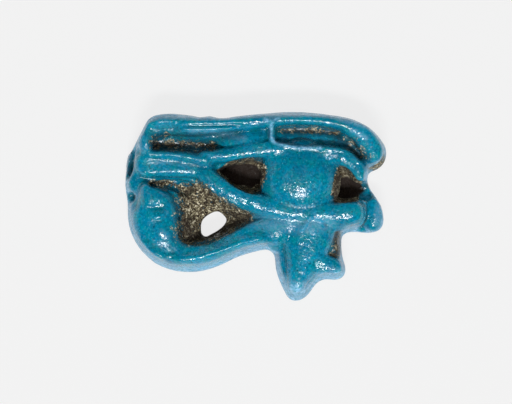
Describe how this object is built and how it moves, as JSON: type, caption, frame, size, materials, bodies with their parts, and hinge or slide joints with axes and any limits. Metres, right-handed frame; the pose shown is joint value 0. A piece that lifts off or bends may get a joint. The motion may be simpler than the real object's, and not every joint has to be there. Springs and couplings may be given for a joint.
{
  "type": "wedjat eye amulet",
  "caption": "Small openwork eye amulet of blue-glazed quartz paste with raised brow, lids and pupil, a curled tail, a cheek drop and a lengthwise stringing hole.",
  "frame": {"origin": "middle of the bounding box on the flat back's plane", "axes": "+X to the nose end, at the viewer's right; +Y to the brow; +Z out of the face"},
  "size_m": [0.0262, 0.0189, 0.0071],
  "materials": {
    "turquoise_glaze": "glossy alkaline copper glaze, slightly grainy",
    "bare_body": "matt sandy quartz paste"
  },
  "bodies": {
    "root": {"back_plate": "turquoise_glaze", "core_slab": "bare_body", "cosmetic_line": "turquoise_glaze", "brow_bar": "turquoise_glaze", "upper_lid": "turquoise_glaze", "lower_lid": "turquoise_glaze", "brow_bridge": "turquoise_glaze", "tail_curl": "turquoise_glaze", "tail_band": "turquoise_glaze", "cheek_drop": "turquoise_glaze", "cheek_spur": "turquoise_glaze", "pupil": "turquoise_glaze", "curl_knob": "turquoise_glaze", "nose_lobe": "turquoise_glaze"}
  },
  "joints": []
}
